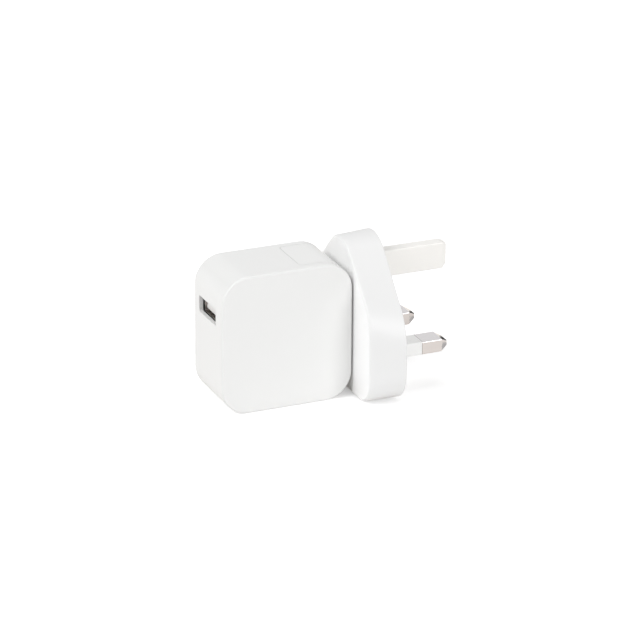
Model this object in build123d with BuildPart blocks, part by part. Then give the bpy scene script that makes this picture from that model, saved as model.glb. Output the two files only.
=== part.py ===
from build123d import *
import os

# Plug-in USB charger whose three-pin plug head slides off the case.
# Millimetres. The origin lies on the plug face, midway between the live and neutral pins.
# +X runs out along the pins, +Z rises to the earth pin, and the rear cover is on the +Y side.

# Plug pins
pin_spacing = 22.23
pin_width = 6.35
pin_height = 3.97
pin_corner = 0.4
pin_length = 17.25
pin_tip = 2.1
pin_tip_slope = 1.15
sleeve_length = 9.0
sleeve_wall = 0.6
earth_rise = 22.23
earth_width = 3.97
earth_height = 7.95
earth_length = 21.9
earth_tip = 1.2
earth_tip_side = 0.35
earth_tip_top = 0.4
earth_tip_foot = 1.15
earth_flange = 2.4
earth_flange_depth = 2.0

# Plug head outline, at the plug face and at the front towards the case
head_depth = 10.64
head_drop = 12.35
face_width = 47.8
front_width = 43.5
face_shoulder = 10.8
front_shoulder = 14.2
face_apex = 37.4
front_apex = 35.4
face_crown_radius = 10.0
front_crown_radius = 8.6
face_foot_radius = 9.1
front_foot_radius = 7.0
face_shoulder_radius = 18.0
front_shoulder_radius = 14.3
front_edge = 0.8
face_edge = 0.25

# Plug head walls and the plate that closes it
head_wall = 2.2
plate_depth = 3.0
plate_rim = 2.0
rim_bevel = 0.25
pin_boss_wall = 1.6
pin_boss_depth = 2.5
strap_thickness = 0.8
strap_width = 3.8
pin_tail = 0.6

# Charger case
case_length = 39.65
case_height = 41.2
case_depth = 20.94
case_drop = 13.0
case_corner = 8.15
case_edge = 0.5
case_wall = 1.8
cover_thickness = 1.2
head_gap = 0.45
board_rib_thickness = 1.2
board_rib_reach = 1.4

# Docking recess in the case and the head's tongue in it
dock_reach = 15.0
dock_width = 15.6
dock_depth = 22.0
dock_corner = 1.4
dock_wall = 1.6
dock_clearance = 0.08
tongue_wall = 1.4

# Locking stud on the recess wall
stud_drop = 11.0
stud_neck = 4.4
stud_neck_length = 2.2
stud_head = 8.0
stud_head_thickness = 1.4
stud_edge = 0.5
rivet_head = 6.4
rivet_head_thickness = 0.8
stud_clearance = 0.2

# Figure-eight inlet below the recess
inlet_spacing = 7.8
inlet_margin = 0.2
inlet_pin = 2.36
inlet_pin_rise = 6.0
boss_lobe = 6.0
boss_waist = 3.6
boss_length = 7.0
well_clearance = 0.2
well_spare = 0.4
block_wall = 1.2
block_floor = 2.0
socket_wall = 0.65
socket_clearance = 0.15
socket_flange = 0.3
socket_flange_thickness = 0.8
socket_slit = 0.4
socket_slit_length = 5.0
strip_thickness = 0.6
strip_width = 2.4

# USB-A receptacle
usb_drop = 12.75
usb_mouth_width = 12.3
usb_mouth_height = 4.85
usb_mouth_corner = 0.5
usb_lip = 1.2
usb_pocket_gap = 1.2
usb_inner_width = 12.5
usb_inner_height = 5.12
usb_sheet = 0.3
usb_corner = 0.6
usb_length = 13.7
usb_setback = 0.65
usb_side_gap = 0.1
usb_tongue_width = 11.1
usb_tongue_thickness = 1.84
usb_tongue_corner = 1.0
usb_tongue_lift = 0.8
usb_tongue_setback = 0.35
usb_tongue_lead_in = 0.3
usb_block_length = 4.0
usb_pitch_outer = 7.0
usb_pitch_inner = 2.0
usb_contact_width = 1.0
usb_contact_thickness = 0.25
usb_spring_width = 1.6
usb_spring_length = 6.0
usb_spring_pitch = 5.6
usb_spring_slit = 0.5

# Boards
board_thickness = 0.8
board_gap = 0.3
board_space = 1.4
board_tab = 8.0

# Power parts on the boards
part_gap = 0.6
core_width = 12.0
core_height = 12.2
core_thickness = 6.0
core_yoke = 2.2
core_centre_leg = 3.0
core_outer_leg = 1.6
core_lift = 0.8
bobbin_wall = 0.6
bobbin_flange = 0.7
winding_thickness = 1.8
transformer_rise = 15.2
bulk_diameter = 6.3
bulk_length = 11.0
can_edge = 0.6
lead_diameter = 0.7
lead_pitch = 2.6
lead_reach = 1.4
output_can_diameter = 5.0
output_can_height = 9.5
can_base = 1.2
drum_diameter = 4.4
drum_height = 6.4
drum_flange = 1.0
drum_waist = 3.0
disc_diameter = 6.0
disc_thickness = 3.0
fuse_diameter = 5.0
fuse_height = 6.0
leg_width = 0.5
leg_reach = 1.0
leg_thickness = 0.25
chip_lift = 0.1
chip_slope = 0.2
chip_height = 1.2
controller_width = 3.9
controller_length = 4.9
bridge_width = 3.9
bridge_length = 4.7
transistor_width = 4.4
transistor_length = 5.0
rectifier_width = 4.0
rectifier_length = 4.6
coupler_width = 3.0
coupler_length = 4.4
coupler_height = 2.2

# Fits
fit_gap = 0.05
cut_over = 1.0

# Places worked out from the sizes above
case_right = -head_depth - head_gap
case_left = case_right - case_length
case_bottom = -case_drop
case_top = case_bottom + case_height
case_centre = ((case_left + case_right) / 2, (case_bottom + case_top) / 2)
cavity_left = case_left + case_wall
cavity_bottom = case_bottom + case_wall
cavity_near = -case_depth / 2 + case_wall
cavity_far = case_depth / 2 - cover_thickness
dock_inner = case_right - dock_reach
dock_floor = case_top - dock_depth
dock_back = dock_inner - dock_wall
tongue_width = dock_width - 2 * dock_clearance
tongue_end = dock_inner + dock_clearance
tongue_foot = dock_floor + dock_clearance
stud_rise = case_top - stud_drop
stud_head_start = dock_inner + stud_neck_length
stud_end = stud_head_start + stud_head_thickness
slot_lip_end = stud_head_start - stud_clearance
slot_end = stud_end + stud_clearance
block_top = dock_floor - dock_wall
block_bottom = dock_floor - boss_length - well_spare - block_floor
boss_bottom = tongue_foot - boss_length
socket_bore = inlet_pin + 2 * socket_clearance
socket_outer = socket_bore + 2 * socket_wall
inlet_x = slot_end + tongue_wall + inlet_margin + socket_flange + socket_outer / 2
tongue_floor = tongue_foot + tongue_wall
strap_rise = tongue_floor + socket_flange_thickness
strap_plane = -plate_depth - pin_boss_depth
board_far = cavity_far - board_space
board_near = board_far - board_thickness
usb_y = board_near - usb_side_gap - usb_sheet - usb_inner_width / 2
usb_rise = case_top - usb_drop
usb_front = case_left + usb_lip + usb_setback
usb_back = usb_front + usb_length
usb_bottom = usb_rise - usb_inner_height / 2 - usb_sheet
usb_block_front = usb_back - usb_block_length
usb_tongue_front = usb_front + usb_tongue_setback
usb_tongue_bottom = usb_rise - usb_inner_height / 2 + usb_tongue_lift
usb_tongue_top = usb_tongue_bottom + usb_tongue_thickness
board_left = cavity_left + board_gap
board_right = dock_back - board_gap
usb_board_top = usb_bottom
usb_board_bottom = usb_board_top - board_thickness
shelf_top = block_bottom - fit_gap

sides = {"live": -1, "neutral": 1}
pieces = {}


def between(at_face, at_front, depth):
    """Value part-way through the plug head, at a depth behind the plug face."""
    return at_face + (at_front - at_face) * depth / head_depth


def head_section(depth, inset=0):
    """Shield outline of the plug head at a depth behind the plug face, moved in by an inset."""
    half_width = between(face_width, front_width, depth) / 2
    shoulder = between(face_shoulder, front_shoulder, depth)
    apex = between(face_apex, front_apex, depth)
    crown_radius = between(face_crown_radius, front_crown_radius, depth)
    foot_radius = between(face_foot_radius, front_foot_radius, depth)
    shoulder_radius = between(face_shoulder_radius, front_shoulder_radius, depth)
    corners = [
        (-half_width, -head_drop),
        (half_width, -head_drop),
        (half_width, shoulder),
        (0, apex),
        (-half_width, shoulder),
    ]
    radii = [foot_radius, foot_radius, shoulder_radius, crown_radius, shoulder_radius]
    with BuildSketch(Plane.YZ.offset(-depth)) as section:
        with BuildLine():
            FilletPolyline(*corners, radius=radii, close=True)
        make_face()
        if inset:
            offset(amount=-inset)
    return section.sketch


def case_section(y, inset=0):
    """Rounded square outline of the case at a place along Y, moved in by an inset."""
    with BuildSketch(Plane.XZ.offset(-y)) as section:
        with Locations(case_centre):
            RectangleRounded(case_length - 2 * inset, case_height - 2 * inset, case_corner - inset)
    return section.sketch


def corner_section(y, inset, left, foot):
    """The top right part of the case outline, from a left edge and a foot up."""
    with BuildSketch(Plane.XZ.offset(-y)) as section:
        with Locations(case_centre):
            RectangleRounded(case_length - 2 * inset, case_height - 2 * inset, case_corner - inset)
        with Locations((left, foot)):
            Rectangle(case_length, case_height, align=(Align.MIN, Align.MIN), mode=Mode.INTERSECT)
    return section.sketch


def inlet_section(z, margin=0):
    """Figure-eight outline of the mains inlet, grown by a margin."""
    with BuildSketch(Plane.XY.offset(z)) as section:
        with Locations((inlet_x, -inlet_spacing / 2), (inlet_x, inlet_spacing / 2)):
            Circle(boss_lobe / 2 + margin)
        with Locations((inlet_x, 0)):
            Rectangle(boss_waist + 2 * margin, inlet_spacing)
    return section.sketch


def blade_section(x, centre, width, height, trim=0):
    """Rounded oblong section of a plug pin, trimmed on all sides."""
    with BuildSketch(Plane.YZ.offset(x)) as section:
        with Locations(centre):
            RectangleRounded(width - 2 * trim, height - 2 * trim, pin_corner)
    return section.sketch


def keep(name, piece):
    """Label a finished piece and keep it for export."""
    piece.label = name
    pieces[name] = piece


def bent_lead(points, diameter, bend):
    """Round wire along straight runs with bends between them."""
    with BuildPart() as lead:
        with BuildLine() as route:
            FilletPolyline(*points, radius=bend)
        with BuildSketch(Plane(origin=route.line @ 0, z_dir=route.line % 0)):
            Circle(diameter / 2)
        sweep()
    return lead.part


# Plug head: flared shell with the docking tongue and its inlet boss
with BuildPart() as head_shell:
    loft([head_section(head_depth), head_section(0)], ruled=True)
    fillet(head_shell.faces().sort_by(Axis.X)[0].edges(), front_edge)
    fillet(head_shell.faces().sort_by(Axis.X)[-1].edges(), face_edge)
    extrude(corner_section(tongue_width / 2, 0, tongue_end, tongue_foot), amount=tongue_width)
    fillet(head_shell.edges().filter_by(Axis.Z).group_by(Axis.X)[0], dock_corner - dock_clearance)
    with BuildSketch(Plane.XY.offset(tongue_foot)) as web:
        with Locations((case_right - case_corner / 2, 0)):
            Rectangle(
                case_corner / 2 + head_gap + head_wall / 2,
                tongue_width,
                align=(Align.MIN, Align.CENTER),
            )
    extrude(amount=case_top - case_corner - tongue_foot)
    extrude(inlet_section(tongue_foot), amount=-boss_length)
    # Hollow of the head, the seat of the base plate and the hollow of the tongue
    hollow_front = head_section(head_depth - head_wall, head_wall)
    loft([hollow_front, head_section(plate_depth, head_wall)], ruled=True, mode=Mode.SUBTRACT)
    extrude(head_section(0, plate_rim), amount=-plate_depth, mode=Mode.SUBTRACT)
    hollow_half = tongue_width / 2 - tongue_wall
    hollow = corner_section(hollow_half, tongue_wall, slot_end + tongue_wall, tongue_floor)
    extrude(hollow, amount=2 * hollow_half, mode=Mode.SUBTRACT)
    with BuildSketch(Plane.XY.offset(tongue_floor)) as passage:
        with Locations((case_right - case_corner, 0)):
            Rectangle(
                case_corner + head_gap + head_wall + cut_over,
                2 * hollow_half,
                align=(Align.MIN, Align.CENTER),
            )
    extrude(amount=case_top - case_corner - tongue_wall - tongue_floor, mode=Mode.SUBTRACT)
    # Slot for the locking stud, narrow at the lips and wide behind them, open at the foot
    for width, start, end in (
        (stud_neck, tongue_end, slot_lip_end),
        (stud_head, slot_lip_end, slot_end),
    ):
        slot_width = width + 2 * stud_clearance
        with BuildSketch(Plane.YZ.offset(start)) as slot:
            with Locations((0, stud_rise)):
                Circle(slot_width / 2)
                Rectangle(slot_width, dock_depth, align=(Align.CENTER, Align.MAX))
        extrude(amount=end - start, mode=Mode.SUBTRACT)
    # Bores for the socket contacts, up through the boss
    with BuildSketch(Plane.XY.offset(boss_bottom)) as bores:
        with Locations((inlet_x, -inlet_spacing / 2), (inlet_x, inlet_spacing / 2)):
            Circle(socket_outer / 2 + fit_gap)
    extrude(amount=tongue_floor - boss_bottom + fit_gap, mode=Mode.SUBTRACT)
keep("head_shell", head_shell.part)

# Plug face, with a boss inside round each metal pin
with BuildPart() as base_plate:
    extrude(head_section(0, plate_rim + fit_gap), amount=-plate_depth)
    chamfer(base_plate.faces().sort_by(Axis.X)[-1].edges(), rim_bevel)
    with BuildSketch(Plane.YZ.offset(-plate_depth)) as pin_bosses:
        with Locations((-pin_spacing / 2, 0), (pin_spacing / 2, 0)):
            RectangleRounded(
                pin_width + 2 * pin_boss_wall,
                pin_height + 2 * pin_boss_wall,
                pin_boss_wall,
            )
    extrude(amount=-pin_boss_depth)
    with BuildSketch(Plane.YZ) as pin_holes:
        with Locations((-pin_spacing / 2, 0), (pin_spacing / 2, 0)):
            RectangleRounded(pin_width + 2 * fit_gap, pin_height + 2 * fit_gap, pin_corner)
    extrude(amount=-plate_depth - pin_boss_depth, mode=Mode.SUBTRACT)
    with BuildSketch(Plane.YZ) as earth_hole:
        with Locations((0, earth_rise)):
            RectangleRounded(earth_width + 2 * fit_gap, earth_height + 2 * fit_gap, pin_corner)
    extrude(amount=-plate_depth, mode=Mode.SUBTRACT)
keep("base_plate", base_plate.part)

# Metal pins, thinner inside their sleeves, with the straps and contacts behind them
for pole, side in sides.items():
    pin_centre = (side * pin_spacing / 2, 0)
    tail_end = strap_plane - strap_thickness - pin_tail
    with BuildPart() as pin:
        core = blade_section(tail_end, pin_centre, pin_width, pin_height, sleeve_wall)
        extrude(core, amount=sleeve_length - tail_end)
        bare = blade_section(sleeve_length, pin_centre, pin_width, pin_height)
        extrude(bare, amount=pin_length - pin_tip - sleeve_length)
        tip_base = blade_section(pin_length - pin_tip, pin_centre, pin_width, pin_height)
        tip_end = blade_section(pin_length, pin_centre, pin_width, pin_height, pin_tip_slope)
        loft([tip_base, tip_end], ruled=True)
    keep(f"{pole}_pin", pin.part)

    with BuildPart() as sleeve:
        outer = blade_section(strap_plane, pin_centre, pin_width, pin_height)
        extrude(outer, amount=sleeve_length - strap_plane)
        inner = blade_section(strap_plane, pin_centre, pin_width, pin_height, sleeve_wall - fit_gap)
        extrude(inner, amount=sleeve_length - strap_plane, mode=Mode.SUBTRACT)
    keep(f"{pole}_sleeve", sleeve.part)

    contact_y = side * inlet_spacing / 2
    with BuildPart() as socket:
        with Locations((inlet_x, contact_y, boss_bottom + fit_gap)):
            Cylinder(
                socket_outer / 2,
                tongue_floor - boss_bottom,
                align=(Align.CENTER, Align.CENTER, Align.MIN),
            )
        with Locations((inlet_x, contact_y, tongue_floor + fit_gap)):
            Cylinder(
                socket_outer / 2 + socket_flange,
                socket_flange_thickness - fit_gap,
                align=(Align.CENTER, Align.CENTER, Align.MIN),
            )
        with Locations((inlet_x, contact_y, strap_rise)):
            Hole(socket_bore / 2)
        with Locations((inlet_x, contact_y, boss_bottom)):
            Box(
                socket_slit,
                socket_outer,
                socket_slit_length,
                align=(Align.CENTER, Align.CENTER, Align.MIN),
                mode=Mode.SUBTRACT,
            )
    keep(f"{pole}_socket", socket.part)

    with BuildPart() as strap:
        strap_start = inlet_x - socket_outer / 2
        with BuildSketch(Plane.XY.offset(strap_rise)) as leg:
            with Locations((strap_start, contact_y)):
                Rectangle(
                    strap_plane - strap_start,
                    strap_width,
                    align=(Align.MIN, Align.CENTER),
                )
            with Locations((inlet_x, contact_y)):
                Circle(socket_bore / 2, mode=Mode.SUBTRACT)
        extrude(amount=strap_thickness)
        with BuildSketch(Plane.YZ.offset(strap_plane)) as plate:
            foot = -pin_height / 2 - pin_boss_wall
            with Locations((contact_y, foot)):
                Rectangle(
                    strap_width,
                    strap_rise + strap_thickness - foot,
                    align=(Align.CENTER, Align.MIN),
                )
            inner_edge = contact_y - side * strap_width / 2
            outer_edge = pin_centre[0] + side * (pin_width / 2 + pin_boss_wall)
            with Locations(((inner_edge + outer_edge) / 2, 0)):
                Rectangle(abs(outer_edge - inner_edge), pin_height + 2 * pin_boss_wall)
            with Locations(pin_centre):
                RectangleRounded(
                    pin_width - 2 * (sleeve_wall - fit_gap),
                    pin_height - 2 * (sleeve_wall - fit_gap),
                    pin_corner,
                    mode=Mode.SUBTRACT,
                )
        extrude(amount=-strap_thickness)
    keep(f"{pole}_strap", strap.part)

# Plastic earth pin with a flange behind the plug face, its tip sloped most on the underside
with BuildPart() as earth_pin:
    earth_centre = (0, earth_rise)
    shank = blade_section(-plate_depth, earth_centre, earth_width, earth_height)
    extrude(shank, amount=earth_length - earth_tip + plate_depth)
    tip_base = blade_section(earth_length - earth_tip, earth_centre, earth_width, earth_height)
    tip_centre = (0, earth_rise + (earth_tip_foot - earth_tip_top) / 2)
    tip_width = earth_width - 2 * earth_tip_side
    tip_height = earth_height - earth_tip_top - earth_tip_foot
    tip_end = blade_section(earth_length, tip_centre, tip_width, tip_height)
    loft([tip_base, tip_end], ruled=True)
    flange = blade_section(-plate_depth, earth_centre, earth_width, earth_height, -earth_flange)
    extrude(flange, amount=-earth_flange_depth)
keep("earth_pin", earth_pin.part)

# Case tub: near wide face, band, docking recess and board ribs, open at the far wide face
with BuildPart() as case_body:
    extrude(case_section(case_depth / 2), amount=case_depth)
    fillet(case_body.faces().sort_by(Axis.Y)[0].edges(), case_edge)
    fillet(case_body.faces().sort_by(Axis.Y)[-1].edges(), case_edge)
    tub_depth = case_depth - case_wall
    extrude(case_section(case_depth / 2, case_wall), amount=tub_depth, mode=Mode.SUBTRACT)
    dock_block = corner_section(cavity_far, case_wall / 2, dock_back, block_top)
    extrude(dock_block, amount=cavity_far - cavity_near)
    with BuildSketch(Plane.XY.offset(dock_floor)) as recess:
        with Locations((dock_inner, 0)):
            Rectangle(dock_reach + cut_over, dock_width, align=(Align.MIN, Align.CENTER))
        fillet(recess.vertices().group_by(Axis.X)[0], dock_corner)
    extrude(amount=dock_depth + cut_over, mode=Mode.SUBTRACT)
    extrude(inlet_section(dock_floor, well_clearance), amount=-dock_wall, mode=Mode.SUBTRACT)
    with Locations((dock_inner, 0, stud_rise)):
        Cylinder(
            stud_neck / 2 + fit_gap,
            2 * dock_wall + cut_over,
            rotation=(0, 90, 0),
            mode=Mode.SUBTRACT,
        )
    with BuildSketch(Plane.YZ.offset(case_left)) as usb_mouth:
        with Locations((usb_y, usb_rise)):
            RectangleRounded(usb_mouth_width, usb_mouth_height, usb_mouth_corner)
    extrude(amount=case_wall, mode=Mode.SUBTRACT)
    with BuildSketch(Plane.YZ.offset(case_left + usb_lip)) as usb_pocket:
        with Locations((usb_y, usb_rise)):
            RectangleRounded(
                usb_inner_width + 2 * (usb_sheet + usb_pocket_gap),
                usb_inner_height + 2 * (usb_sheet + usb_pocket_gap),
                usb_corner,
            )
    extrude(amount=case_wall - usb_lip, mode=Mode.SUBTRACT)
    # Ribs that the main board rests on
    rib_depth = board_near - cavity_near
    rib_y = (board_near + cavity_near) / 2
    rib_reach = board_rib_reach + case_wall / 2
    wall_rib_x = cavity_left - case_wall / 2
    floor_rib_z = cavity_bottom - case_wall / 2
    low = case_bottom + case_corner + board_rib_thickness
    high = usb_rise + usb_inner_height / 2 + usb_sheet + part_gap + board_rib_thickness / 2
    with Locations((wall_rib_x, rib_y, low), (wall_rib_x, rib_y, high)):
        Box(rib_reach, rib_depth, board_rib_thickness, align=(Align.MIN, Align.CENTER, Align.CENTER))
    near_left = case_left + case_corner + board_rib_thickness
    near_right = case_right - case_corner + board_rib_thickness
    with Locations((near_left, rib_y, floor_rib_z), (near_right, rib_y, floor_rib_z)):
        Box(board_rib_thickness, rib_depth, rib_reach, align=(Align.CENTER, Align.CENTER, Align.MIN))
keep("case_body", case_body.part)

# Flat cover that drops into the mouth of the tub
with BuildPart() as rear_cover:
    extrude(case_section(case_depth / 2, case_wall + fit_gap), amount=cover_thickness)
    chamfer(rear_cover.faces().sort_by(Axis.Y)[-1].edges(), rim_bevel)
keep("rear_cover", rear_cover.part)

# Locking stud, riveted through the recess wall
with BuildPart() as locking_stud:
    with BuildSketch(Plane.XZ) as stud_profile:
        with BuildLine():
            Polyline(
                (dock_back - rivet_head_thickness, stud_rise),
                (dock_back - rivet_head_thickness, stud_rise + rivet_head / 2),
                (dock_back - fit_gap, stud_rise + rivet_head / 2),
                (dock_back - fit_gap, stud_rise + stud_neck / 2),
                (stud_head_start, stud_rise + stud_neck / 2),
                (stud_head_start, stud_rise + stud_head / 2),
                (stud_end - stud_edge, stud_rise + stud_head / 2),
                (stud_end, stud_rise + stud_head / 2 - stud_edge),
                (stud_end, stud_rise),
                close=True,
            )
        make_face()
    revolve(axis=Axis((0, 0, stud_rise), (1, 0, 0)))
keep("locking_stud", locking_stud.part)

# Inlet block with its figure-eight well, and the two inlet pins
with BuildPart() as inlet_block:
    with BuildSketch(Plane.XY.offset(block_bottom)) as block_outline:
        with Locations((inlet_x, (cavity_near + cavity_far) / 2)):
            block_width = boss_lobe + 2 * (well_clearance + block_wall)
            SlotOverall(cavity_far - cavity_near - 2 * fit_gap, block_width, rotation=90)
    extrude(amount=block_top - fit_gap - block_bottom)
    well = inlet_section(block_top, well_clearance)
    extrude(well, amount=block_bottom + block_floor - block_top, mode=Mode.SUBTRACT)
    with BuildSketch(Plane.XY.offset(block_bottom)) as pin_bores:
        with Locations((inlet_x, -inlet_spacing / 2), (inlet_x, inlet_spacing / 2)):
            Circle(inlet_pin / 2 + fit_gap)
    extrude(amount=block_floor, mode=Mode.SUBTRACT)
keep("inlet_block", inlet_block.part)

for pole, side in sides.items():
    contact_y = side * inlet_spacing / 2
    with BuildPart() as inlet_post:
        post_bottom = block_bottom - strip_thickness
        post_length = block_floor + strip_thickness + inlet_pin_rise
        with Locations((inlet_x, contact_y, post_bottom)):
            Cylinder(inlet_pin / 2, post_length, align=(Align.CENTER, Align.CENTER, Align.MIN))
        fillet(inlet_post.faces().sort_by(Axis.Z)[-1].edges(), inlet_pin / 4)
    keep(f"inlet_pin_{pole}", inlet_post.part)

# Strips under the block from the inlet pins to the main board, the live one passing beside the neutral pin
strip_side = inlet_x - inlet_pin - strip_width
for pole, side in sides.items():
    contact_y = side * inlet_spacing / 2
    with BuildPart() as inlet_strip:
        with BuildSketch(Plane.XY.offset(block_bottom - fit_gap)) as strip_outline:
            with Locations((inlet_x, contact_y)):
                Circle(strip_width / 2 + sleeve_wall)
            if pole == "live":
                with Locations((strip_side, contact_y)):
                    Rectangle(inlet_x - strip_side, strip_width, align=(Align.MIN, Align.CENTER))
                with Locations((strip_side, contact_y - strip_width / 2)):
                    Rectangle(
                        strip_width,
                        board_near - contact_y + strip_width / 2,
                        align=(Align.CENTER, Align.MIN),
                    )
            else:
                with Locations((inlet_x, contact_y)):
                    Rectangle(strip_width, board_near - contact_y, align=(Align.CENTER, Align.MIN))
            with Locations((inlet_x, contact_y)):
                Circle(inlet_pin / 2 + fit_gap, mode=Mode.SUBTRACT)
        extrude(amount=-strip_thickness)
    keep(f"inlet_strip_{pole}", inlet_strip.part)

# USB-A receptacle: folded shell with spring tongues, insulator and four contacts
with BuildPart() as usb_shell:
    with BuildSketch(Plane.YZ.offset(usb_front)) as shell_section:
        with Locations((usb_y, usb_rise)):
            RectangleRounded(usb_inner_width + 2 * usb_sheet, usb_inner_height + 2 * usb_sheet, usb_corner)
            RectangleRounded(
                usb_inner_width,
                usb_inner_height,
                usb_corner - usb_sheet,
                mode=Mode.SUBTRACT,
            )
    extrude(amount=usb_length)
    spring_places = [(usb_tongue_front, usb_y + side * usb_spring_pitch / 2) for side in (-1, 1)]
    with BuildSketch(Plane.XY.offset(usb_bottom)) as spring_slits:
        with Locations(*spring_places):
            Rectangle(
                usb_spring_length,
                usb_spring_width + 2 * usb_spring_slit,
                align=(Align.MIN, Align.CENTER),
            )
            Rectangle(
                usb_spring_length - usb_spring_slit,
                usb_spring_width,
                align=(Align.MIN, Align.CENTER),
                mode=Mode.SUBTRACT,
            )
    extrude(amount=usb_inner_height + 2 * usb_sheet, mode=Mode.SUBTRACT)
keep("usb_shell", usb_shell.part)

with BuildPart() as usb_insulator:
    with BuildSketch(Plane.YZ.offset(usb_block_front)) as rear_block:
        with Locations((usb_y, usb_rise)):
            RectangleRounded(
                usb_inner_width - 2 * fit_gap,
                usb_inner_height - 2 * fit_gap,
                usb_corner - usb_sheet,
            )
    extrude(amount=usb_block_length)
    with BuildSketch(Plane.YZ.offset(usb_tongue_front)) as tongue_section:
        with Locations((usb_y, usb_tongue_bottom)):
            Rectangle(usb_tongue_width, usb_tongue_thickness, align=(Align.CENTER, Align.MIN))
        fillet(tongue_section.vertices().group_by(Axis.Y)[-1], usb_tongue_corner)
    extrude(amount=usb_block_front - usb_tongue_front)
    lead_in = usb_insulator.faces().sort_by(Axis.X)[0].edges().filter_by(Axis.Y).sort_by(Axis.Z)[0]
    chamfer(lead_in, usb_tongue_lead_in)
keep("usb_insulator", usb_insulator.part)

contact_places = [-usb_pitch_outer / 2, -usb_pitch_inner / 2, usb_pitch_inner / 2, usb_pitch_outer / 2]
with BuildPart() as usb_contacts:
    contact_front = usb_tongue_front + usb_tongue_thickness / 2
    contact_back = usb_block_front - fit_gap
    with Locations([(contact_front, usb_y + y, usb_tongue_top + fit_gap) for y in contact_places]):
        Box(
            contact_back - contact_front,
            usb_contact_width,
            usb_contact_thickness,
            align=(Align.MIN, Align.CENTER, Align.MIN),
        )
keep("usb_contacts", usb_contacts.part)

# Board that carries the receptacle, with a tab into the main board
usb_board_length = usb_back - board_left
with BuildPart() as usb_board:
    with BuildSketch(Plane.XY.offset(usb_board_bottom)) as usb_board_outline:
        with Locations((board_left, board_near - fit_gap)):
            Rectangle(
                usb_board_length,
                board_near - fit_gap - cavity_near - board_gap,
                align=(Align.MIN, Align.MAX),
            )
        with Locations((board_left + usb_board_length / 2, board_near - fit_gap)):
            Rectangle(board_tab, board_thickness + fit_gap, align=(Align.CENTER, Align.MIN))
    extrude(amount=board_thickness - fit_gap)
keep("usb_board", usb_board.part)

# Main board beside the rear cover, with a shelf that runs under the inlet block
with BuildPart() as main_board:
    with BuildSketch(Plane.XZ.offset(-board_far)) as board_outline:
        with Locations(case_centre):
            RectangleRounded(
                case_length - 2 * (case_wall + board_gap),
                case_height - 2 * (case_wall + board_gap),
                case_corner - case_wall - board_gap,
            )
        with Locations((board_right, shelf_top)):
            Rectangle(case_length, case_height, align=(Align.MIN, Align.MIN), mode=Mode.SUBTRACT)
        with Locations((board_left + usb_board_length / 2, (usb_board_top + usb_board_bottom) / 2)):
            Rectangle(board_tab + 2 * fit_gap, board_thickness + 2 * fit_gap, mode=Mode.SUBTRACT)
    extrude(amount=board_thickness)
keep("main_board", main_board.part)

# Transformer: an E-E core stood on the board, its bobbin and its winding
transformer_x = board_left + part_gap + board_rib_reach + core_width / 2
transformer_z = case_bottom + transformer_rise
window_height = core_height - 2 * core_yoke
window_y = board_near - core_lift - core_height / 2
window_width = (core_width - core_centre_leg) / 2 - core_outer_leg
with BuildPart() as transformer_core:
    with BuildSketch(Plane.XY.offset(transformer_z - core_thickness / 2)) as core_outline:
        with Locations((transformer_x, window_y)):
            Rectangle(core_width, core_height)
        window_x = core_centre_leg / 2 + window_width / 2
        with Locations((transformer_x - window_x, window_y), (transformer_x + window_x, window_y)):
            Rectangle(window_width, window_height, mode=Mode.SUBTRACT)
    extrude(amount=core_thickness)
keep("transformer_core", transformer_core.part)

spool_width = core_centre_leg + 2 * (bobbin_wall + fit_gap)
spool_depth = core_thickness + 2 * (bobbin_wall + fit_gap)
flange_width = core_centre_leg + 2 * (window_width - fit_gap)
flange_depth = spool_depth + 2 * winding_thickness
with BuildPart() as transformer_bobbin:
    spool_start = window_y - window_height / 2 + fit_gap
    spool_length = window_height - 2 * fit_gap
    with BuildSketch(Plane.XZ.offset(-spool_start - spool_length)) as spool:
        with Locations((transformer_x, transformer_z)):
            Rectangle(spool_width, spool_depth)
    extrude(amount=spool_length)
    for start in (spool_start + bobbin_flange, spool_start + spool_length):
        with BuildSketch(Plane.XZ.offset(-start)) as spool_flange:
            with Locations((transformer_x, transformer_z)):
                Rectangle(flange_width, flange_depth)
        extrude(amount=bobbin_flange)
    with BuildSketch(Plane.XZ.offset(-board_near)) as feet:
        foot_width = (flange_depth - core_thickness) / 2 - fit_gap
        foot_z = core_thickness / 2 + fit_gap + foot_width / 2
        with Locations((transformer_x, transformer_z - foot_z), (transformer_x, transformer_z + foot_z)):
            Rectangle(flange_width, foot_width)
    extrude(amount=core_lift + core_yoke + fit_gap)
    with BuildSketch(Plane.XZ.offset(-spool_start - spool_length)) as leg_hole:
        with Locations((transformer_x, transformer_z)):
            Rectangle(core_centre_leg + 2 * fit_gap, core_thickness + 2 * fit_gap)
    extrude(amount=spool_length, mode=Mode.SUBTRACT)
keep("transformer_bobbin", transformer_bobbin.part)

with BuildPart() as transformer_winding:
    wound_start = spool_start + bobbin_flange + fit_gap
    wound_length = spool_length - 2 * (bobbin_flange + fit_gap)
    with BuildSketch(Plane.XZ.offset(-wound_start - wound_length)) as wound:
        with Locations((transformer_x, transformer_z)):
            RectangleRounded(flange_width - 2 * fit_gap, flange_depth, winding_thickness / 2)
            Rectangle(spool_width + 2 * fit_gap, spool_depth + 2 * fit_gap, mode=Mode.SUBTRACT)
    extrude(amount=wound_length)
keep("transformer_winding", transformer_winding.part)

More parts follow.
